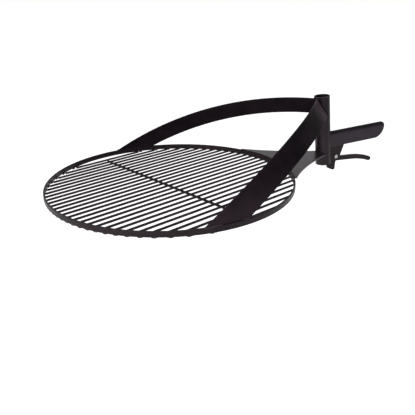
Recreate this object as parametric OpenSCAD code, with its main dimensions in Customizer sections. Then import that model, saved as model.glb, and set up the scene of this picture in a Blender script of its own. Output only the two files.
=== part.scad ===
/* [Grate] */
// Outer diameter of the round grate
grate_d = 600; // [480:10:760]
// Height of the flat bar that is rolled into the ring
ring_h = 13; // [10:1:20]
// Thickness of the ring's flat bar
ring_t = 4; // [3:0.5:6]
// Diameter of the parallel rods
rod_d = 5.5; // [4:0.5:8]
// How far the rods stand up inside the ring, above its lower edge
rod_rise = 2; // [1:0.5:4]
// Distance from the ring's inner face to the axis of the outermost rod
rod_edge = 21; // [12:1:30]
// Angle between the rods and the line from grate centre to sleeve
rod_turn = 17; // [0:1:40]
// Diameter of the round bar that crosses under the rods
cross_bar_d = 6; // [4:1:8]

/* [Sleeve] */
// Outer diameter of the sleeve that slides on the post
sleeve_d = 40; // [36:1:44]
// Wall thickness of the sleeve
sleeve_wall = 2; // [1.5:0.5:4]
// Height of the sleeve
sleeve_h = 187; // [175:1:230]
// Distance from the sleeve's axis to the grate's centre
reach = 448; // [420:1:520]
// Height of the ring's top edge above the sleeve's bottom end, measured at the sleeve's axis
grate_level = 31; // [22:1:40]
// Angle by which the grate rises away from the sleeve, so that it hangs level when it is loaded
grate_rise = 4.5; // [0:0.5:6]

/* [Arms] */
// Width of the flat bar of the two arms
arm_w = 51; // [35:1:55]
// Thickness of the arms' flat bar
arm_t = 5; // [4:0.5:8]
// Depth of the arc to which each arm is rolled
arm_sag = 51; // [41:2:81]
// Lean of the plane in which each arm is rolled, away from the middle of the grate
arm_lean = 41; // [20:1:45]
// Angle by which the arm's face stands steeper than a cylinder rolled in that plane
arm_cone = 11; // [0:1:20]
// How far the middle of each foot stands ahead of the grate's centre, towards the sleeve
foot_ahead = 8; // [-20:1:20]
// How far the middle of each foot lies inside the ring's outer face
foot_in = 6; // [2:1:8]
// Distance from the sleeve's top end down to the middle of the arm's nose
nose_drop = 27; // [22:1:35]
// Direction of the nose on the sleeve, measured from the grate side
nose_turn = 51; // [30:1:60]

/* [Tie plate] */
// Thickness of the flat plate between ring and sleeve
plate_t = 4; // [3:0.5:6]
// Half of the angle of the ring that the plate holds
plate_half_angle = 26; // [18:1:28]
// Length of the square end that the plate has on the ring
plate_step = 6; // [4:1:10]
// Direction on the sleeve in which the plate's side edge ends
plate_nose_angle = 104; // [90:1:120]
// Radius of the plate's hollow side edges
plate_edge_r = 520; // [320:20:800]

/* [Handle] */
// Width of the handle's pressed channel
handle_w = 20; // [18:1:24]
// Height of the handle's channel
handle_h = 41; // [34:1:44]
// Thickness of the handle's sheet
handle_sheet = 2.5; // [2:0.5:3]
// Distance from the sleeve's axis to the handle's end
handle_reach = 196; // [170:2:230]
// Height of the handle's lower edge at the sleeve, above the sleeve's bottom end
handle_level = 45; // [42:1:54]
// Angle by which the handle falls away from the sleeve
handle_droop = 2.5; // [0:0.5:4]
// Radius of the handle's lower end corner
handle_corner_r = 33; // [15:1:34]
// Radius of the handle's upper end corner
handle_tip_r = 4; // [2:1:6]

/* [Bracket and pin] */
// Thickness of each bracket cheek
cheek_t = 3; // [2:0.5:4]
// Distance of the pivot pin behind the sleeve's axis
pin_x = 34.5; // [33:0.5:36]
// Height of the pivot pin above the sleeve's bottom end
pin_z = 13.5; // [12:0.5:16]
// Diameter of the pivot bolt
pin_d = 6; // [5:0.5:8]
// Radius of the cheek's round lower end
cheek_r = 14; // [12:1:16]
// Length of the cheek along the handle
cheek_reach = 64; // [52:1:70]

/* [Brake lever] */
// Depth of the lever's arm, seen from the side
lever_w = 12; // [8:0.5:13]
// Straight length of the lever's arm from the pin
lever_straight = 58; // [45:1:80]
// Droop of the lever's straight part
lever_droop = 8; // [4:1:9]
// Radius of the lever's curved end
lever_bend_r = 195; // [130:5:220]
// Angle of the lever's curved end
lever_bend = 18; // [12:1:24]
// Radius of the lever's hub
lever_hub_r = 10; // [9:0.5:11]
// Gap between toe and sleeve, below the sleeve's bottom end
toe_gap = 8; // [6:0.5:10]
// Height of the lever's toe
toe_h = 17; // [12:0.5:19]
// How far the toe reaches in under the sleeve's wall, from the outer face
toe_bite = 7; // [5:0.5:9]

/* [Hidden] */
rod_count = 28;
edge_break = 0.6;
pass = 1;
weld_gap = 0.05;
seat_gap = 0.3;
side_play = 0.5;
bore_play = 0.06;
hole_play = 0.2;
bolt_head_h = 4;
nut_h = 5;
hex_over_pin = 1.9;
bolt_end = 1;
cope_in = 10;
foot_run_out = 100;
mitre_gap = 0.5;
stem_w = 13.5;
toe_corner = 4;
toe_r = 6;
cheek_top_in = 18;
arc_steps = 20;
round_fn = 64;
ring_fn = 180;

ring_r = grate_d / 2;
sleeve_r = sleeve_d / 2;
bore_r = sleeve_r - sleeve_wall;
rod_z = -ring_h + rod_rise - rod_d / 2;
cross_z = rod_z - rod_d / 2 - weld_gap - cross_bar_d / 2;
rod_pitch = (grate_d - 2 * ring_t - 2 * rod_edge) / (rod_count - 1);
rod_mid = (rod_count - 1) / 2;

foot = [-reach + foot_ahead, -(ring_r - foot_in), 0];
nose_r = sleeve_r + arm_t / 2;
nose = on_grate([-nose_r * cos(nose_turn), -nose_r * sin(nose_turn), sleeve_h - nose_drop]);
chord = nose - foot;
chord_l = norm(chord);
arm_heading = atan2(chord.y, chord.x);
arm_rise = asin(chord.z / chord_l);
arm_r = (chord_l * chord_l / 4 + arm_sag * arm_sag) / (2 * arm_sag);
arm_half = asin(chord_l / 2 / arm_r);
foot_more = foot_run_out / arm_r * 180 / PI;
nose_more = cope_in / arm_r * 180 / PI;

plate_corner_r = ring_r + plate_step;
plate_corner = [-reach + plate_corner_r * cos(plate_half_angle), plate_corner_r * sin(plate_half_angle)];
plate_nose = sleeve_r * [cos(plate_nose_angle), sin(plate_nose_angle)];

pin = [pin_x, pin_z];
channel_in = handle_w - 2 * handle_sheet;
lever_t = channel_in - 2 * cheek_t - 2 * side_play;
cheek_out = channel_in / 2;
lever_drop = 8;
stem_x = sleeve_r + seat_gap;
hex_r = pin_d / 2 * hex_over_pin;

function rod_name(i) = str("grate_rod_", i < 9 ? "0" : "", i + 1);
function rod_y(i) = (i - rod_mid) * rod_pitch;
function rod_half(y) = sqrt(pow(ring_r - ring_t, 2) - pow(abs(y) + rod_d / 2, 2)) - weld_gap;

// A point of the sleeve in the grate's own frame, which starts on the sleeve's axis at the ring's top
function on_grate(p) = let (s = sin(grate_rise), c = cos(grate_rise), z = p.z - grate_level)
    [p.x * c - z * s, p.y, p.x * s + z * c];

// Points along an arc about c, from angle a to angle b
function arc(c, r, a, b) = [
    for (i = [0 : arc_steps]) let (t = a + (b - a) * i / arc_steps) c + r * [cos(t), sin(t)]
];

ROD_NODES = [for (i = [0 : rod_count - 1]) rod_name(i)];

// Rectangle with broken corners, the section of rolled flat bar
module flat_section(w, h) {
    e = edge_break;
    polygon([[e, 0], [w - e, 0], [w, e], [w, h - e], [w - e, h], [e, h], [0, h - e], [0, e]]);
}

// Sets a piece that is drawn in the grate's own frame at its place on the sleeve
module at_grate() {
    translate([0, 0, grate_level]) rotate([0, grate_rise, 0]) children();
}

// Solid cylinder that stands where the sleeve's outer face is
module sleeve_body() {
    translate([0, 0, -sleeve_h]) cylinder(r = sleeve_r, h = 3 * sleeve_h, $fn = round_fn);
}

// Places a side view, drawn with Z upwards, as a plate of thickness t centred at y
module side_plate(y, t) {
    translate([0, y + t / 2, 0]) rotate([90, 0, 0]) linear_extrude(t) children();
}

// The tube that slides on the post
module post_sleeve() {
    color("#242224") difference() {
        cylinder(r = sleeve_r, h = sleeve_h, $fn = round_fn);
        translate([0, 0, -pass]) cylinder(r = bore_r, h = sleeve_h + 2 * pass, $fn = round_fn);
    }
}

// Flat bar on edge, rolled to a hoop
module grate_ring() {
    color("#2a282a") at_grate() translate([-reach, 0, -ring_h])
        rotate_extrude($fn = ring_fn) translate([ring_r - ring_t, 0]) flat_section(ring_t, ring_h);
}

// One rod of the grate, welded to the ring's inner face at both ends
module grate_rod(i) {
    half = rod_half(rod_y(i));
    color("#2a282a") at_grate() translate([-reach, 0, rod_z]) rotate(rod_turn)
        translate([-half, rod_y(i), 0]) rotate([0, 90, 0]) cylinder(d = rod_d, h = 2 * half, $fn = 24);
}

// The bar under the rods that keeps them apart in the middle
module cross_bar() {
    half = rod_mid * rod_pitch + rod_d / 2;
    color("#2a282a") at_grate() translate([-reach, 0, cross_z]) rotate(rod_turn)
        translate([0, half, 0]) rotate([90, 0, 0]) cylinder(d = cross_bar_d, h = 2 * half, $fn = 32);
}

// Flat plate with hollow sides that carries the ring on the sleeve
module tie_plate() {
    a = plate_corner;
    b = plate_nose;
    run = norm(b - a);
    mid = (a + b) / 2;
    normal = [a.y - b.y, b.x - a.x] / run;
    centre = mid + normal * sqrt(plate_edge_r * plate_edge_r - run * run / 4);
    ring_point = [-reach, 0] + (ring_r - pass) * [cos(plate_half_angle), sin(plate_half_angle)];
    color("#2e2c2e") difference() {
        at_grate() translate([0, 0, -plate_t]) difference() {
            linear_extrude(plate_t) difference() {
                polygon([[ring_point.x, -ring_point.y], [a.x, -a.y], [b.x, -b.y], b, a, ring_point]);
                for (s = [-1, 1]) translate([centre.x, s * centre.y]) circle(r = plate_edge_r, $fn = 360);
            }
            translate([-reach, 0, -pass]) cylinder(r = ring_r, h = plate_t + 2 * pass, $fn = ring_fn);
        }
        sleeve_body();
    }
}

// The rolled bar of one arm before its ends are cut, lying in its own leaning plane
module arm_blank() {
    sweep = 2 * arm_half + foot_more + nose_more;
    translate(foot) rotate([0, 0, arm_heading]) rotate([0, -arm_rise, 0]) rotate([-arm_lean, 0, 0])
        translate([chord_l / 2, arm_r - arm_sag, 0]) rotate([0, 0, 270 - arm_half - foot_more])
            rotate_extrude(angle = sweep, $fn = ring_fn) translate([arm_r, 0]) rotate(-arm_cone)
                translate([-arm_t / 2, -arm_w / 2]) flat_section(arm_t, arm_w);
}

// Arm on the -Y side: foot cut level on the ring, nose coped to the sleeve and mitred at the middle.
// Left and right are those of a cook who stands at the handle and faces the grate.
module left_arm() {
    color("#232123") difference() {
        at_grate() difference() {
            arm_blank();
            translate([-2 * reach, -reach, -reach]) cube([3 * reach, 2 * reach, reach]);
        }
        translate([-reach, -mitre_gap, -pass]) cube([2 * reach, reach, 2 * sleeve_h]);
        sleeve_body();
    }
}

module right_arm() {
    mirror([0, 1, 0]) left_arm();
}

// Closed outline of the handle's channel: two walls under a half-round top
module channel_outline(w, h) {
    translate([-w / 2, 0]) square([w, h - w / 2]);
    translate([0, h - w / 2]) circle(d = w, $fn = round_fn);
}

// Side view of the handle, with its large lower corner
module handle_side() {
    lower = [handle_reach - handle_corner_r, handle_corner_r];
    upper = [handle_reach - handle_tip_r, handle_h - handle_tip_r];
    polygon(concat(
        [[0, 0]],
        arc(lower, handle_corner_r, -90, 0),
        arc(upper, handle_tip_r, 0, 90),
        [[0, handle_h]]
    ));
}

// Pressed channel, open below, coped to the sleeve
module handle() {
    color("#2b292c") difference() {
        translate([0, 0, handle_level]) rotate([0, handle_droop, 0]) intersection() {
            side_plate(0, handle_w) handle_side();
            rotate([90, 0, 90]) linear_extrude(handle_reach) difference() {
                channel_outline(handle_w, handle_h);
                translate([0, -pass]) channel_outline(channel_in, handle_h - handle_sheet + pass);
            }
        }
        sleeve_body();
    }
}

// Side view of a bracket cheek, from inside the handle down round the pin
module cheek_side() {
    corner = [cheek_reach, handle_level - cheek_reach * tan(handle_droop)];
    away = corner - pin;
    tangent = atan2(away.y, away.x) - acos(cheek_r / norm(away));
    top = handle_level + cheek_top_in;
    difference() {
        polygon(concat(
            [[0, top], [cheek_reach, corner.y + cheek_top_in], corner],
            arc(pin, cheek_r, tangent, -150),
            [[0, pin_z - cheek_r / 2]]
        ));
        translate(pin) circle(r = pin_d / 2 + hole_play, $fn = round_fn);
    }
}

module cheek(s) {
    color("#2e2b2d") difference() {
        side_plate(s * (cheek_out - cheek_t / 2), cheek_t) cheek_side();
        sleeve_body();
    }
}

module left_cheek() {
    cheek(-1);
}

module right_cheek() {
    cheek(1);
}

// Hexagon bolt through both cheeks and the lever, head on the -Y side
module pivot_bolt() {
    length = 2 * cheek_out + nut_h + bolt_end;
    color("#b9bcc0") translate([pin_x, -cheek_out, pin_z]) rotate([-90, 0, 0]) {
        cylinder(d = pin_d, h = length, $fn = round_fn);
        translate([0, 0, -bolt_head_h]) cylinder(r = hex_r, h = bolt_head_h, $fn = 6);
    }
}

// Nut on the bolt's end
module pivot_nut() {
    color("#b9bcc0") translate([pin_x, cheek_out, pin_z]) rotate([-90, 0, 0]) difference() {
        cylinder(r = hex_r, h = nut_h, $fn = 6);
        translate([0, 0, -pass]) cylinder(d = pin_d + 2 * weld_gap, h = nut_h + 2 * pass, $fn = round_fn);
    }
}

// The lever's arm along its own axis: straight, then bent downwards to a round tip
module lever_arm() {
    half = lever_w / 2;
    centre = [lever_straight, -lever_bend_r];
    slope = 90 - lever_bend;
    tip = centre + lever_bend_r * [cos(slope), sin(slope)];
    polygon(concat(
        [[0, half]],
        arc(centre, lever_bend_r + half, 90, slope),
        arc(tip, half, slope, slope - 180),
        arc(centre, lever_bend_r - half, slope, 90),
        [[0, -half]]
    ));
}

// The lever below its hub: stem beside the sleeve, then the toe that grips the post
module lever_stem() {
    toe_top = -toe_gap;
    toe_low = -toe_gap - toe_h;
    toe = [sleeve_r - toe_bite + toe_r, toe_top - toe_r];
    hub_low = pin_z - lever_hub_r / 2;
    polygon(concat(
        [[stem_x, hub_low], [pin_x + lever_hub_r / 2, hub_low]],
        [[stem_x + stem_w, toe_low], [stem_x + stem_w / 2, toe_low]],
        arc(toe, toe_r, -110, -270),
        [[stem_x, toe_top + toe_corner]]
    ));
}

// Brake lever between the cheeks
module brake_lever() {
    color("#37353a") difference() {
        union() {
            side_plate(0, lever_t) translate(pin) circle(r = lever_hub_r, $fn = round_fn);
            side_plate(0, lever_t) translate([pin_x, pin_z - lever_drop]) rotate(-lever_droop) lever_arm();
            side_plate(0, lever_t) lever_stem();
        }
        side_plate(0, lever_t + 2 * pass) translate(pin) circle(d = pin_d + 2 * bore_play, $fn = round_fn);
    }
}

post_sleeve();
grate_ring();
cross_bar();
tie_plate();
left_arm();
right_arm();
handle();
left_cheek();
right_cheek();
pivot_bolt();
pivot_nut();
brake_lever();
for (i = [0 : rod_count - 1])
    grate_rod(i);
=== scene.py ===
import bmesh
import bpy
import math
from mathutils import Matrix, Vector


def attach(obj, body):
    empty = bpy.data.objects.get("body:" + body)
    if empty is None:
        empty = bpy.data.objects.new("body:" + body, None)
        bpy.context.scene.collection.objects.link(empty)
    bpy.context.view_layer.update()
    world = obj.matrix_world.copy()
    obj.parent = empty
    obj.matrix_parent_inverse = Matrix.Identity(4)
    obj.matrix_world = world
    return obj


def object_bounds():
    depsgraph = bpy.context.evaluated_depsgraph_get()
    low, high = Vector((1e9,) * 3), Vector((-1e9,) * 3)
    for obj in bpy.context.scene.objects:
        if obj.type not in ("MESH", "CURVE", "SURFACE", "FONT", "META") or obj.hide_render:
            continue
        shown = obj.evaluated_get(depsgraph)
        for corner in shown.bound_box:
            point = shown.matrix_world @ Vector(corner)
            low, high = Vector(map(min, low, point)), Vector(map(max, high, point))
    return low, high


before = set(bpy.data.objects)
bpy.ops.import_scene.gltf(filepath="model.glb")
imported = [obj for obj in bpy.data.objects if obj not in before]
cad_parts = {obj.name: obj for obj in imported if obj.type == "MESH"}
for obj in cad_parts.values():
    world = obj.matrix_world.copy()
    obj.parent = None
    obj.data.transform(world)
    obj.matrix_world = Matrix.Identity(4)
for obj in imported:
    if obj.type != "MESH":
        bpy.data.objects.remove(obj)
cad_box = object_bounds()
MM = 0.001

# Camera: a standing photographer's view from the front left of the grate, looking down on it.
# Its place, turn and lens come from the round ring and its evenly spaced rods in the photograph.
VIEW_FROM = Vector((-842.5, -1151.8, 537.0)) * MM
VIEW_YAW, VIEW_PITCH, VIEW_ROLL = (math.radians(a) for a in (70.98, 20.03, -6.99))
FOCAL_PX, CENTRE_PX, FRAME_PX, SENSOR_MM = 537.5, 168, 415, 36
SIGHT_RANGE = 200.0

forward = Vector((math.cos(VIEW_PITCH) * math.cos(VIEW_YAW),
                  math.cos(VIEW_PITCH) * math.sin(VIEW_YAW),
                  -math.sin(VIEW_PITCH)))
level = Vector((math.sin(VIEW_YAW), -math.cos(VIEW_YAW), 0))
upright = level.cross(forward)
across = math.cos(VIEW_ROLL) * level + math.sin(VIEW_ROLL) * upright
above = -math.sin(VIEW_ROLL) * level + math.cos(VIEW_ROLL) * upright
lens = bpy.data.cameras.new("view")
lens.sensor_width = SENSOR_MM
lens.lens = FOCAL_PX * SENSOR_MM / FRAME_PX
lens.shift_x = (FRAME_PX / 2 - CENTRE_PX) / FRAME_PX
lens.shift_y = -lens.shift_x
lens.clip_end = SIGHT_RANGE
camera = bpy.data.objects.new("view", lens)
camera.matrix_world = Matrix.Translation(VIEW_FROM) @ Matrix((across, above, -forward)).transposed().to_4x4()
bpy.context.scene.collection.objects.link(camera)
bpy.context.scene.camera = camera

# Studio: a wide white paper floor that fades into a white surround, with a bright horizon and a dark
# ceiling. Past the handle a flag dims what the gloss mirrors: the paper from FLAG_FROM to FLAG_TO metres
# off the post, and the walls by the cosine between their direction and FLAG_SIDE.
FLOOR_BELOW, FLOOR_SIZE = 0.30, 120.0
PAPER_WHITE, PAPER_GLOW = "#f4f4f4", 0.80
FLAG_SIDE = (0.94, -0.34, 0.0)
FLAG_FROM, FLAG_TO, FLAG_GREY = 0.6, 1.2, 0.5
WALL_FLAG_FROM, WALL_FLAG_TO, WALL_FLAG_GREY = 0.72, 0.95, 0.30
HORIZON_TOP, CEILING_FROM = 0.05, 0.75
HORIZON_GREY, CEILING_GREY = 0.95, 0.08


def linear(hex_colour):
    """sRGB hex colour as linear RGBA."""
    channels = [int(hex_colour[i:i + 2], 16) / 255 for i in (1, 3, 5)]
    return [c / 12.92 if c <= 0.04045 else ((c + 0.055) / 1.055) ** 2.4 for c in channels] + [1.0]


def node(tree, kind, links=None, **settings):
    """Adds a node, sets its properties and sockets, and links its inputs to other nodes' outputs."""
    made = tree.nodes.new(kind)
    for name, value in settings.items():
        setattr(made, name, value)
    for socket, value in (links or {}).items():
        if isinstance(value, bpy.types.NodeSocket):
            tree.links.new(value, made.inputs[socket])
        else:
            made.inputs[socket].default_value = value
    return made


def new_material(name):
    """A material with an empty node tree and its output node."""
    material = bpy.data.materials.new(name)
    material.use_nodes = True
    material.node_tree.nodes.clear()
    return material, material.node_tree, material.node_tree.nodes.new("ShaderNodeOutputMaterial")


white_paper, tree, out = new_material("white_background_paper")
rays = node(tree, "ShaderNodeLightPath")
paper_place = node(tree, "ShaderNodeVectorMath", {0: node(tree, "ShaderNodeTexCoord").outputs["Object"],
                                                  1: FLAG_SIDE}, operation="DOT_PRODUCT")
flag = node(tree, "ShaderNodeMapRange",
            {"Value": paper_place.outputs["Value"], "From Min": FLAG_FROM, "From Max": FLAG_TO,
             "To Min": 1.0, "To Max": FLAG_GREY})
mirrored = node(tree, "ShaderNodeMath",
                {0: rays.outputs["Is Glossy Ray"], 1: rays.outputs["Is Transmission Ray"]}, operation="ADD")
flagged = node(tree, "ShaderNodeMath", {0: mirrored.outputs[0], 1: flag.outputs[0]}, operation="MULTIPLY")
seen = node(tree, "ShaderNodeMath", {0: rays.outputs["Is Camera Ray"], 1: flagged.outputs[0]},
            operation="ADD", use_clamp=True)
share = node(tree, "ShaderNodeMath", {0: seen.outputs[0], 1: PAPER_GLOW}, operation="MULTIPLY")
matt = node(tree, "ShaderNodeBsdfDiffuse", {"Color": linear(PAPER_WHITE)})
glow = node(tree, "ShaderNodeEmission", {"Color": (1, 1, 1, 1), "Strength": share.outputs[0]})
paper = node(tree, "ShaderNodeAddShader", {0: matt.outputs[0], 1: glow.outputs[0]})
tree.links.new(paper.outputs[0], out.inputs["Surface"])

sheet = bmesh.new()
bmesh.ops.create_grid(sheet, x_segments=2, y_segments=2, size=FLOOR_SIZE / 2)
floor_mesh = bpy.data.meshes.new("floor")
sheet.to_mesh(floor_mesh)
sheet.free()
floor = bpy.data.objects.new("floor", floor_mesh)
floor.location = (0, 0, cad_box[0][2] - FLOOR_BELOW)
floor.data.materials.append(white_paper)
bpy.context.scene.collection.objects.link(floor)

world = bpy.data.worlds.new("studio")
bpy.context.scene.world = world
world.use_nodes = True
tree = world.node_tree
tree.nodes.clear()
out = tree.nodes.new("ShaderNodeOutputWorld")
direction = node(tree, "ShaderNodeTexCoord")
height = node(tree, "ShaderNodeSeparateXYZ", {0: direction.outputs["Generated"]})
band = node(tree, "ShaderNodeMapRange",
            {"Value": height.outputs["Z"], "From Min": HORIZON_TOP, "From Max": CEILING_FROM,
             "To Min": HORIZON_GREY, "To Max": CEILING_GREY},
            interpolation_type="SMOOTHSTEP")
flag_side = node(tree, "ShaderNodeVectorMath", {0: direction.outputs["Generated"], 1: FLAG_SIDE},
                 operation="DOT_PRODUCT")
wall_flag = node(tree, "ShaderNodeMapRange",
                 {"Value": flag_side.outputs["Value"], "From Min": WALL_FLAG_FROM, "From Max": WALL_FLAG_TO,
                  "To Min": 1.0, "To Max": WALL_FLAG_GREY})
walls = node(tree, "ShaderNodeMath", {0: band.outputs[0], 1: wall_flag.outputs[0]}, operation="MULTIPLY")
rays = node(tree, "ShaderNodeLightPath")
strength = node(tree, "ShaderNodeMix",
                {"Factor": rays.outputs["Is Camera Ray"], "A": walls.outputs[0], "B": 1.0}, data_type="FLOAT")
sky = node(tree, "ShaderNodeBackground", {"Color": (1, 1, 1, 1), "Strength": strength.outputs["Result"]})
tree.links.new(sky.outputs[0], out.inputs["Surface"])


def softbox(name, place, aim, wide, tall, watts):
    """A rectangular studio light that faces a point, with its place and size in metres."""
    light = bpy.data.lights.new(name, "AREA")
    light.shape = "RECTANGLE"
    light.size, light.size_y, light.energy = wide, tall, watts
    holder = bpy.data.objects.new(name, light)
    holder.location = place
    holder.rotation_euler = (Vector(aim) - Vector(place)).to_track_quat("-Z", "Y").to_euler()
    bpy.context.scene.collection.objects.link(holder)


softbox("front_softbox", place=(-2.1, -1.3, 0.9), aim=(0, 0, 0.1), wide=0.6, tall=1.0, watts=26)
softbox("top_softbox", place=(-0.3, 0.9, 2.2), aim=(-0.3, 0, 0), wide=1.8, tall=1.2, watts=12)

# Post sleeve: a cut length of 40 mm steel tube, open at both ends, that slides on the fire pit's
# post. It is sprayed with satin black stove paint, which takes a soft streak of light down the tube.
SLEEVE_R = 20 * MM
GLOSS_TINT = (1.0, 0.84, 0.94, 1.0)
# Painted light for the arm that faces the lamps: a grey for its foot and a brown-grey towards its nose.
LIT_FOOT_GREY, LIT_NOSE_GREY = "#3d333a", "#5d4b55"
CLOUD, SMUDGE, WEAR_AND_HIGHLIGHT_EDGE, GRIT_DEPTH = 45 * MM, 9 * MM, 1.1 * MM, 0.25 * MM


def stove_paint(name, body, worn_and_lit_edge, gloss, ior, grain_mm=1.2, lit_foot_top=None, lit_nose_reach=None):
    """Black silicone stove paint on steel: satin, faintly orange-peeled, rubbed to brown-grey at the edges,
    where the edge colour can also be a painted highlight.

    A dry spray coat scatters most of its mirror light in pits between the pigment grains, so its IOR sits
    below the 1.5 of the bare resin. Spray grit is 0.3 mm on the real part and is drawn at grain_mm so that
    it shows in the render. Film thickness clouds the black over CLOUD, and hands smudge it over SMUDGE.
    Below a given height the coat is painted grey, and within a given reach of the post's axis it is painted
    brown-grey: painted light, for a part that faces the lamps.
    axis it is rubbed brown-grey by the hand that steadies the sleeve."""
    material, tree, out = new_material(name)
    place = node(tree, "ShaderNodeTexCoord").outputs["Object"]
    cloud = node(tree, "ShaderNodeTexNoise", {"Vector": place, "Scale": 1 / CLOUD, "Detail": 4.0})
    smudge = node(tree, "ShaderNodeTexNoise",
                  {"Vector": place, "Scale": 1 / SMUDGE, "Detail": 6.0, "Roughness": 0.65})
    grit = node(tree, "ShaderNodeTexNoise", {"Vector": place, "Scale": 1 / (grain_mm * MM), "Detail": 2.0})
    soft_edge = node(tree, "ShaderNodeBevel", {"Radius": WEAR_AND_HIGHLIGHT_EDGE}, samples=6)
    face = node(tree, "ShaderNodeNewGeometry")
    turn = node(tree, "ShaderNodeVectorMath", {0: soft_edge.outputs[0], 1: face.outputs["Normal"]},
                operation="DOT_PRODUCT")
    edge = node(tree, "ShaderNodeMapRange",
                {"Value": turn.outputs["Value"], "From Min": 0.995, "From Max": 0.80})
    broken = node(tree, "ShaderNodeMapRange",
                  {"Value": smudge.outputs["Fac"], "From Min": 0.40, "From Max": 0.62, "To Min": 0.10})
    wear_and_edge_highlight = node(tree, "ShaderNodeMath", {0: edge.outputs[0], 1: broken.outputs[0]}, operation="MULTIPLY")
    cloud_step = node(tree, "ShaderNodeMapRange",
                      {"Value": cloud.outputs["Fac"], "From Min": 0.35, "From Max": 0.65})
    tint = node(tree, "ShaderNodeMix",
                {"Factor": cloud_step.outputs[0], "A": linear(body[0]), "B": linear(body[1])},
                data_type="RGBA")
    # Painted light: grey low down and brown-grey near the post's axis, for a part that faces the lamps.
    if lit_foot_top:
        lift = node(tree, "ShaderNodeSeparateXYZ", {0: place})
        lit_foot = node(tree, "ShaderNodeMapRange",
                   {"Value": lift.outputs["Z"], "From Min": 0.6 * lit_foot_top, "From Max": lit_foot_top,
                    "To Min": 0.6, "To Max": 0.0})
        plan = node(tree, "ShaderNodeVectorMath", {0: place, 1: (1.0, 1.0, 0.0)}, operation="MULTIPLY")
        off_post = node(tree, "ShaderNodeVectorMath", {0: plan.outputs[0]}, operation="LENGTH")
        lit_nose = node(tree, "ShaderNodeMapRange",
                   {"Value": off_post.outputs["Value"], "From Min": 0.4 * lit_nose_reach, "From Max": lit_nose_reach,
                    "To Min": 0.9, "To Max": 0.0})
        tint = node(tree, "ShaderNodeMix",
                    {"Factor": lit_foot.outputs[0], "A": tint.outputs[2], "B": linear(LIT_FOOT_GREY)}, data_type="RGBA")
        tint = node(tree, "ShaderNodeMix",
                    {"Factor": lit_nose.outputs[0], "A": tint.outputs[2], "B": linear(LIT_NOSE_GREY)}, data_type="RGBA")
    # Edges take the edge colour: wear, and on the arms also a painted highlight along their lit edges.
    colour = node(tree, "ShaderNodeMix",
                  {"Factor": wear_and_edge_highlight.outputs[0], "A": tint.outputs[2], "B": linear(worn_and_lit_edge)}, data_type="RGBA")
    rough = node(tree, "ShaderNodeMapRange",
                 {"Value": smudge.outputs["Fac"], "From Min": 0.3, "From Max": 0.7,
                  "To Min": gloss[0], "To Max": gloss[1]})
    bump = node(tree, "ShaderNodeBump",
                {"Height": grit.outputs["Fac"], "Normal": soft_edge.outputs[0],
                 "Strength": 0.22, "Distance": GRIT_DEPTH})
    shader = node(tree, "ShaderNodeBsdfPrincipled",
                  {"Base Color": colour.outputs[2], "Roughness": rough.outputs[0], "Normal": bump.outputs[0],
                   "IOR": ior, "Specular Tint": GLOSS_TINT})
    tree.links.new(shader.outputs[0], out.inputs["Surface"])
    return material


def dress(names, material):
    """Gives CAD nodes one material."""
    for name in names:
        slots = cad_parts[name].data.materials
        slots.clear()
        slots.append(material)


# The thickest coat on the part, so it keeps the clearest streak.
tube_black = stove_paint("satin_black_stove_paint", ("#211820", "#120d10"), "#463a3f", (0.30, 0.42), 1.34)
dress(["post_sleeve"], tube_black)

# Grate: a hoop of flat bar on edge, with twenty-eight rods butted to its inside and a cross bar under
# them. The steel is oiled black, and each joint is held from below by a dab of weld with a heat tint.
GRATE_R, RING_T, RING_H = 300 * MM, 4 * MM, 13 * MM
ROD_D, ROD_RISE, CROSS_D = 5.5 * MM, 2 * MM, 6 * MM
GRATE_LEVEL, GRATE_RISE, ROD_TURN = 31 * MM, math.radians(4.5), math.radians(17)
REACH, ROD_COUNT, ROD_EDGE = 448 * MM, 28, 21 * MM
END_DAB, END_DAB_OUT, END_DAB_DOWN = (2.2 * MM, 6.0 * MM, 2.2 * MM), 1.2 * MM, 0.9 * MM
CROSS_DAB, CROSS_DAB_OUT, CROSS_DAB_DOWN = (0.7 * MM, 1.1 * MM, 0.7 * MM), 0.30 * CROSS_D, 1.4 * MM
HEAT_PATCH, OXIDE_SCALE, OXIDE_DEPTH = 4 * MM, 0.8 * MM, 0.3 * MM
grate_place = (Matrix.Translation((0, 0, GRATE_LEVEL)) @ Matrix.Rotation(GRATE_RISE, 4, "Y")
               @ Matrix.Translation((-REACH, 0, 0)))
on_grate = grate_place.inverted()

# Burnt-on oil leaves the rolled bar a dull black with little gloss.
oiled_steel = stove_paint("oiled_black_steel", ("#1b1519", "#241c21"), "#4c3f43", (0.34, 0.48), 1.26,
                          grain_mm=0.9)
# Drawn rod is smoother, and food and brush keep it cleaner, so it looks greyer than the ring; its colour is
# also set greyer as a painted sheen of the pale sky along the rods.
rod_black_with_painted_sheen = stove_paint("drawn_rod_with_painted_sheen", ("#2c242a", "#382e35"), "#574a50", (0.30, 0.44), 1.29,
                          grain_mm=0.9)
dress(["grate_ring", "cross_bar"], oiled_steel)
dress(sorted(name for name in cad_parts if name.startswith("grate_rod_")), rod_black_with_painted_sheen)


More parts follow.
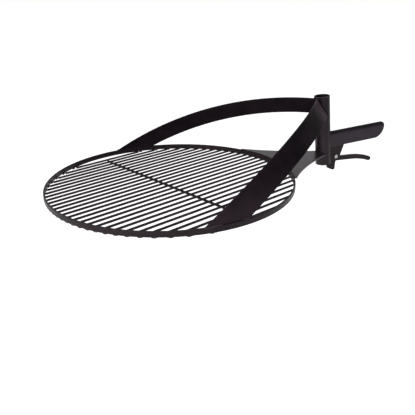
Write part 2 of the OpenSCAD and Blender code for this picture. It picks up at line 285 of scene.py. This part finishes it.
def heat_tinted_weld(name, tints):
    """Mild steel weld metal, not ground: rough ripples, straw to violet heat tint under the oil."""
    material, tree, out = new_material(name)
    place = node(tree, "ShaderNodeTexCoord").outputs["Object"]
    heat = node(tree, "ShaderNodeTexNoise", {"Vector": place, "Scale": 1 / HEAT_PATCH, "Detail": 3.0})
    scale = node(tree, "ShaderNodeTexVoronoi", {"Vector": place, "Scale": 1 / OXIDE_SCALE})
    ramp = node(tree, "ShaderNodeValToRGB", {"Fac": heat.outputs["Fac"]})
    for stop, (where, tint) in zip((ramp.color_ramp.elements[0], ramp.color_ramp.elements[1],
                                    ramp.color_ramp.elements.new(0.5)), tints):
        stop.position, stop.color = where, linear(tint)
    rough = node(tree, "ShaderNodeMapRange",
                 {"Value": scale.outputs["Distance"], "To Min": 0.38, "To Max": 0.62})
    bump = node(tree, "ShaderNodeBump",
                {"Height": scale.outputs["Distance"], "Strength": 0.35, "Distance": OXIDE_DEPTH})
    shader = node(tree, "ShaderNodeBsdfPrincipled",
                  {"Base Color": ramp.outputs["Color"], "Roughness": rough.outputs[0],
                   "Normal": bump.outputs[0], "IOR": 1.36})
    tree.links.new(shader.outputs[0], out.inputs["Surface"])
    return material


weld_steel = heat_tinted_weld("heat_tinted_weld", ((0.30, "#1d181b"), (0.72, "#241f28"), (0.5, "#2c2320")))


def weld_dabs(name, spots, half_sizes, material):
    """Small lumps of weld metal, each turned by its own heading and swollen by two waves that run out of
    step from one lump to the next, so that no two are alike."""
    lumps = bmesh.new()
    for number, (spot, heading) in enumerate(spots):
        made = bmesh.ops.create_icosphere(lumps, subdivisions=2, radius=1.0)["verts"]
        for vert in made:
            swell = 1 + 0.13 * (math.sin(5.1 * vert.co.x + 1.7 * number)
                                * math.cos(4.3 * vert.co.y + 2.3 * number))
            vert.co = Vector([along * half for along, half in zip(vert.co, half_sizes)]) * swell
        turned = grate_place @ Matrix.Translation(spot) @ Matrix.Rotation(heading, 4, "Z")
        bmesh.ops.transform(lumps, matrix=turned, verts=made)
    for facet in lumps.faces:
        facet.smooth = True
    mesh = bpy.data.meshes.new(name)
    lumps.to_mesh(mesh)
    lumps.free()
    mesh.materials.append(material)
    piece = bpy.data.objects.new(name, mesh)
    bpy.context.scene.collection.objects.link(piece)
    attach(piece, "frame")


rod_pitch = 2 * (GRATE_R - RING_T - ROD_EDGE) / (ROD_COUNT - 1)
rod_low = -RING_H + ROD_RISE - ROD_D
turned_rods = Matrix.Rotation(ROD_TURN, 4, "Z")
ring_spots, cross_spots = [], []
for row in ((i - (ROD_COUNT - 1) / 2) * rod_pitch for i in range(ROD_COUNT)):
    half_rod = math.sqrt((GRATE_R - RING_T) ** 2 - row * row)
    for side in (-1, 1):
        spot = turned_rods @ Vector((side * (half_rod + END_DAB_OUT), row, -RING_H - END_DAB_DOWN))
        ring_spots.append((spot, math.atan2(spot.y, spot.x)))
        spot = turned_rods @ Vector((side * CROSS_DAB_OUT, row, rod_low - CROSS_DAB_DOWN))
        cross_spots.append((spot, ROD_TURN))
weld_dabs("rod_end_welds", ring_spots, END_DAB, weld_steel)
weld_dabs("cross_bar_welds", cross_spots, CROSS_DAB, weld_steel)

# Tie plate: 4 mm plate, flame cut with hollow sides, butted to the ring's outside and to the sleeve.
# It lies flat under a smooth coat, so it takes the pale horizon and looks the lightest of all.
PLATE_T = 4 * MM
ON_FACE, NEAR_FACE = 0.04 * MM, 0.1 * MM
plate_black = stove_paint("smooth_black_stove_paint", ("#2b2329", "#221b20"), "#4c4047", (0.30, 0.42), 1.45)
dress(["tie_plate"], plate_black)


def seam(name, lies_on, keep):
    """Outline of a CAD node's faces on a surface, as runs of points: the line that a welder follows."""
    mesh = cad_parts[name].data
    points = [tuple(round(c, 6) for c in vert.co) for vert in mesh.vertices]
    sides = {}
    for facet in mesh.polygons:
        if all(lies_on(mesh.vertices[i].co) for i in facet.vertices):
            for a, b in facet.edge_keys:
                side = tuple(sorted((points[a], points[b])))
                sides[side] = sides.get(side, 0) + 1
    ends = {}
    for (a, b), uses in sides.items():
        if uses == 1 and keep((Vector(a) + Vector(b)) / 2):
            ends.setdefault(a, []).append(b)
            ends.setdefault(b, []).append(a)
    runs = []
    while ends:
        start = min(ends, key=lambda point: (len(ends[point]), point))
        run = [start]
        while ends.get(run[-1]):
            ahead = ends[run[-1]].pop(0)
            ends[ahead].remove(run[-1])
            run.append(ahead)
        for point in [point for point in ends if not ends[point]]:
            del ends[point]
        if len(run) > 1:
            runs.append([Vector(point) for point in run])
    return runs


def weld_beads(name, runs, material, leg):
    """Hand-laid fillet welds along runs of points: overlapping ripples, thin at both ends of each run."""
    beads = bmesh.new()
    step, ripple, sway, around = 0.4 * MM, 1.6 * MM, 7 * MM, 8
    for run in runs:
        lengths = [0.0]
        for a, b in zip(run, run[1:]):
            lengths.append(lengths[-1] + (b - a).length)
        if lengths[-1] < 4 * ripple:
            continue
        count = int(lengths[-1] / step)
        spots, stretch = [], 0
        for i in range(count + 1):
            s = lengths[-1] * i / count
            while stretch < len(run) - 2 and lengths[stretch + 1] < s:
                stretch += 1
            share_done = (s - lengths[stretch]) / (lengths[stretch + 1] - lengths[stretch])
            spots.append((s, run[stretch].lerp(run[stretch + 1], share_done)))
        last = None
        for i, (s, spot) in enumerate(spots):
            heading = (spots[min(i + 2, count)][1] - spots[max(i - 2, 0)][1]).normalized()
            side = heading.orthogonal() if last is None else side - heading * side.dot(heading)
            side.normalize()
            up = heading.cross(side)
            fade = min(1.0, (s + 0.5 * ripple) / (1.5 * ripple),
                       (lengths[-1] - s + 0.5 * ripple) / (1.5 * ripple))
            wave = (s % ripple) / ripple
            radius = 0.5 * leg * math.sqrt(max(fade, 0.05)) * (1.0 - 0.20 * wave * wave
                                                               + 0.06 * math.sin(s / sway))
            loop = [beads.verts.new(spot + radius * (math.cos(t) * side + math.sin(t) * up))
                    for t in (2 * math.pi * k / around for k in range(around))]
            if last is not None:
                for k in range(around):
                    ahead = (k + 1) % around
                    beads.faces.new((last[k], last[ahead], loop[ahead], loop[k])).smooth = True
            else:
                beads.faces.new(loop)
            last = loop
        beads.faces.new(list(reversed(last)))
    bmesh.ops.recalc_face_normals(beads, faces=beads.faces)
    mesh = bpy.data.meshes.new(name)
    beads.to_mesh(mesh)
    beads.free()
    mesh.materials.append(material)
    piece = bpy.data.objects.new(name, mesh)
    bpy.context.scene.collection.objects.link(piece)
    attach(piece, "frame")


def on_sleeve(point):
    return abs(math.hypot(point.x, point.y) - SLEEVE_R) < ON_FACE


def on_ring_outside(point):
    flat = on_grate @ point
    return abs(math.hypot(flat.x, flat.y) - GRATE_R) < ON_FACE


def on_ring_top(point):
    return abs((on_grate @ point).z) < ON_FACE


def plate_face(point):
    """True on the plate's top and underside, false down its cut edges."""
    depth = (on_grate @ point).z
    return depth > -NEAR_FACE or depth < NEAR_FACE - PLATE_T


weld_beads("plate_to_ring_weld", seam("tie_plate", on_ring_outside, plate_face),
           plate_black, leg=3.4 * MM)
weld_beads("plate_to_sleeve_weld", seam("tie_plate", on_sleeve, plate_face),
           tube_black, leg=4.0 * MM)

# Arms: two equal lengths of 51 x 5 mm flat bar, rolled to an arc, cut level at the foot and coped
# and mitred at the nose. They carry the same spray as the sleeve, drier, so they look deepest black.
# The left one is painted lighter all over, grey towards its foot and brown-grey towards its nose: painted
# light on the arm that faces the lamps.
# The arms' edge colour is raised into a painted highlight along the lit edge faces of the bar.
ARM_COAT_WITH_EDGE_HIGHLIGHT = ("#54464f", (0.54, 0.68), 1.13)
# Where the near arm's painted light lies: grey below one height, brown-grey within one reach of the post.
LIT_FOOT_TOP, LIT_NOSE_REACH = 125 * MM, 135 * MM
# A foot's bead lies on the ring's top, this far from the grate's centre or more. A nose's bead stops this
# far from the mirror plane, where the two arms meet.
FOOT_FROM, NOSE_FROM = 297.2 * MM, 1.2 * MM
arm_black = stove_paint("dry_black_stove_paint", ("#1d151b", "#100b0f"), *ARM_COAT_WITH_EDGE_HIGHLIGHT)
# The near arm's copy of the paint is lighter, with painted light at its foot and nose.
near_arm_lit_black = stove_paint("near_arm_painted_light_stove_paint", ("#261c23", "#151014"), *ARM_COAT_WITH_EDGE_HIGHLIGHT, lit_foot_top=LIT_FOOT_TOP,
                         lit_nose_reach=LIT_NOSE_REACH)
# The foot's bead is coloured pale grey: a painted highlight that draws the light line along the weld on the
# ring's top.
foot_bead_highlight_paint = stove_paint("foot_weld_painted_highlight", ("#4a3d45", "#2c2329"), "#8a7b82", (0.30, 0.45), 1.45)
dress(["left_arm"], near_arm_lit_black)
dress(["right_arm"], arm_black)
for side_name in ("left", "right"):
    arm = side_name + "_arm"
    weld_beads(side_name + "_foot_weld",
               seam(arm, on_ring_top, lambda p: (on_grate @ p).xy.length > FOOT_FROM),
               foot_bead_highlight_paint, leg=3.0 * MM)
    weld_beads(side_name + "_nose_weld",
               seam(arm, on_sleeve, lambda p: abs(p.y) > NOSE_FROM),
               arm_black, leg=4.2 * MM)

# Handle and its bracket: a pressed channel with a round back, and two cheeks of plate inside it.
# They have a smoother coat from handling, with blue painted into the handle's colour as a painted reflection,
# and are welded round their outside to the sleeve.
HANDLE_W, HANDLE_LEVEL, HANDLE_H, CHEEK_OUT = 20 * MM, 45 * MM, 41 * MM, 7.5 * MM
HANDLE_DROOP, OUTER_SKIN, CHEEK_WELD_TOP = math.radians(2.5), 0.3 * MM, HANDLE_LEVEL - 1 * MM
TACK, TACKS_FROM = 12 * MM, (23 * MM, 50 * MM)
# Hands keep the channel smooth and slightly glossy. The blue of daylight lamps is painted into its colour: a
# painted reflection.
handle_black_painted_blue = stove_paint("handle_paint_with_painted_blue_reflection", ("#29242e", "#19161c"), "#453c47", (0.28, 0.40), 1.42)
# The cheeks took the welding heat from three sides, which browned their paint.
bracket_black = stove_paint("heat_browned_stove_paint", ("#2c2021", "#1a1415"), "#473a3b", (0.36, 0.50), 1.30)
dress(["handle"], handle_black_painted_blue)
dress(["left_cheek", "right_cheek"], bracket_black)


def handle_outside(point):
    """True on the outer line of the channel's end, false on its inner line and its lower edges."""
    round_centre = HANDLE_LEVEL - point.x * math.tan(HANDLE_DROOP) + HANDLE_H - HANDLE_W / 2
    off_centre = math.hypot(point.y, max(point.z - round_centre, 0))
    return off_centre > HANDLE_W / 2 - OUTER_SKIN


weld_beads("handle_weld", seam("handle", on_sleeve, handle_outside),
           handle_black_painted_blue, leg=4.0 * MM)
for side_name in ("left", "right"):
    weld_beads(side_name + "_cheek_weld",
               seam(side_name + "_cheek", on_sleeve,
                    lambda p: abs(p.y) > CHEEK_OUT - NEAR_FACE and p.z < CHEEK_WELD_TOP),
               handle_black_painted_blue, leg=3.2 * MM)
# Two short tacks join each cheek to the channel's lower edge.
cheek_runs = [[Vector((x, side * CHEEK_OUT, HANDLE_LEVEL - x * math.tan(HANDLE_DROOP)))
               for x in (start, start + TACK / 2, start + TACK)]
              for side in (-1, 1) for start in TACKS_FROM]
weld_beads("cheek_to_handle_weld", cheek_runs, handle_black_painted_blue, leg=3.0 * MM)

# Brake lever: a profile cut from 8 mm plate, bored for the pivot bolt and hung between the cheeks. Its
# paint is polished a little where fingers pull it.
lever_black = stove_paint("rubbed_black_stove_paint", ("#241e21", "#1b1619"), "#463e3f", (0.34, 0.48), 1.30)
dress(["brake_lever"], lever_black)

# Pivot bolt and nut: an M6 hexagon bolt of zinc plated steel through both cheeks and the lever, with its
# head on the left and its nut on the right. It is the one bright spot on the whole grill.
CRYSTAL, ROLLED_EDGE = 1.5 * MM, 0.5 * MM


def zinc_plate(name, pale, dull):
    """Electroplated zinc: a metal with a fine mottled crystal pattern and soft reflections."""
    material, tree, out = new_material(name)
    place = node(tree, "ShaderNodeTexCoord").outputs["Object"]
    crystal = node(tree, "ShaderNodeTexNoise", {"Vector": place, "Scale": 1 / CRYSTAL, "Detail": 5.0})
    tint = node(tree, "ShaderNodeMix",
                {"Factor": crystal.outputs["Fac"], "A": linear(pale), "B": linear(dull)}, data_type="RGBA")
    rough = node(tree, "ShaderNodeMapRange",
                 {"Value": crystal.outputs["Fac"], "To Min": 0.22, "To Max": 0.45})
    soft_edge = node(tree, "ShaderNodeBevel", {"Radius": ROLLED_EDGE}, samples=6)
    shader = node(tree, "ShaderNodeBsdfPrincipled",
                  {"Base Color": tint.outputs[2], "Roughness": rough.outputs[0],
                   "Normal": soft_edge.outputs[0], "Metallic": 1.0})
    tree.links.new(shader.outputs[0], out.inputs["Surface"])
    return material


dress(["pivot_bolt", "pivot_nut"], zinc_plate("zinc_plate", "#c4c6cb", "#8c8e94"))

bpy.context.scene.view_settings.view_transform = "Standard"
